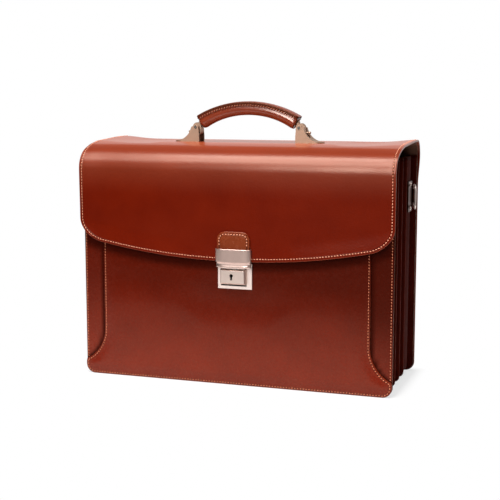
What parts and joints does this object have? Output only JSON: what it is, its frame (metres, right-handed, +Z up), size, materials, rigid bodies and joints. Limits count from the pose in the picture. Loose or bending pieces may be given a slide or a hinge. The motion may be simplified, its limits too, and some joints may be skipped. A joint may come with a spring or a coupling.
{
  "type": "briefcase",
  "caption": "Leather flap-over briefcase with a pleated accordion body, an arched carrying handle, a push-button key lock and hinged strap rings.",
  "frame": {"origin": "bottom centre of the box round the closed case, on the surface that it stands on", "axes": "+X along the case to its right as seen from the front, +Y from the front to the back, +Z up"},
  "size_m": [0.412, 0.1574, 0.3475],
  "materials": {
    "body_leather": "smooth, lightly pebbled full grain",
    "gusset_leather": "smooth, soft",
    "divider_leather": "smooth, painted edges",
    "handle_leather": "polished",
    "lining": "brushed cloth",
    "board": "raw fibreboard",
    "satin_nickel": "satin nickel plate",
    "plain_steel": "plain",
    "key_brass": "dull"
  },
  "bodies": {
    "root": {"back_panel": "body_leather", "back_board": "board", "back_lining": "lining", "front_panel": "body_leather", "front_board": "board", "front_lining": "lining", "front_pocket": "body_leather", "front_gusset": "gusset_leather", "second_gusset": "gusset_leather", "third_gusset": "gusset_leather", "rear_gusset": "gusset_leather", "front_divider": "divider_leather", "middle_divider": "divider_leather", "rear_divider": "divider_leather", "lock_base": "satin_nickel", "lock_backing": "plain_steel", "lock_studs": "plain_steel", "button_spring": "plain_steel", "ring_plate_left": "satin_nickel", "ring_plate_right": "satin_nickel", "ring_rivets": "satin_nickel", "ring_washers": "plain_steel"},
    "flap": {"flap": "body_leather", "flap_stiffener": "board", "flap_lining": "lining", "lock_tab": "handle_leather", "hasp_shell": "satin_nickel", "hasp_tongue": "satin_nickel", "hasp_rivets": "plain_steel", "hasp_backing": "plain_steel", "bracket_left": "satin_nickel", "bracket_right": "satin_nickel", "bracket_pins": "satin_nickel", "bracket_studs": "satin_nickel", "bracket_backings": "plain_steel"},
    "handle": {"handle_grip": "handle_leather", "handle_spine": "handle_leather", "handle_core": "board", "handle_loop_left": "satin_nickel", "handle_loop_right": "satin_nickel"},
    "lock_button": {"lock_button": "satin_nickel", "lock_catch": "plain_steel"},
    "key_barrel": {"key_barrel": "key_brass"},
    "ring_left": {"strap_ring_left": "satin_nickel"},
    "ring_right": {"strap_ring_right": "satin_nickel"}
  },
  "joints": [
    {"name": "flap_hinge", "type": "hinge", "parent": "root", "child": "flap", "pos_m": [0, 0.07875, 0.281], "axis": [-1, 0, 0], "range_deg": [0, 170]},
    {"name": "handle_lift", "type": "slide", "parent": "flap", "child": "handle", "axis": [0, 0, 1], "range_m": [0, 0.005]},
    {"name": "ring_right_swing", "type": "hinge", "parent": "root", "child": "ring_right", "pos_m": [0.1975, 0.06275, 0.23], "axis": [0, 0, 1], "range_deg": [-8, 130]},
    {"name": "ring_left_swing", "type": "hinge", "parent": "root", "child": "ring_left", "pos_m": [-0.1975, 0.06275, 0.23], "axis": [0, 0, -1], "range_deg": [-8, 130]},
    {"name": "lock_button_slide", "type": "slide", "parent": "root", "child": "lock_button", "axis": [0, 0, -1], "range_m": [0, 0.003], "stiffness_N_per_m": 600, "springref_m": -0.002, "deforming": ["button_spring"]},
    {"name": "key_turn", "type": "hinge", "parent": "lock_button", "child": "key_barrel", "pos_m": [0.0015, -0.07505, 0.1365], "axis": [0, -1, 0], "range_deg": [0, 90]}
  ]
}
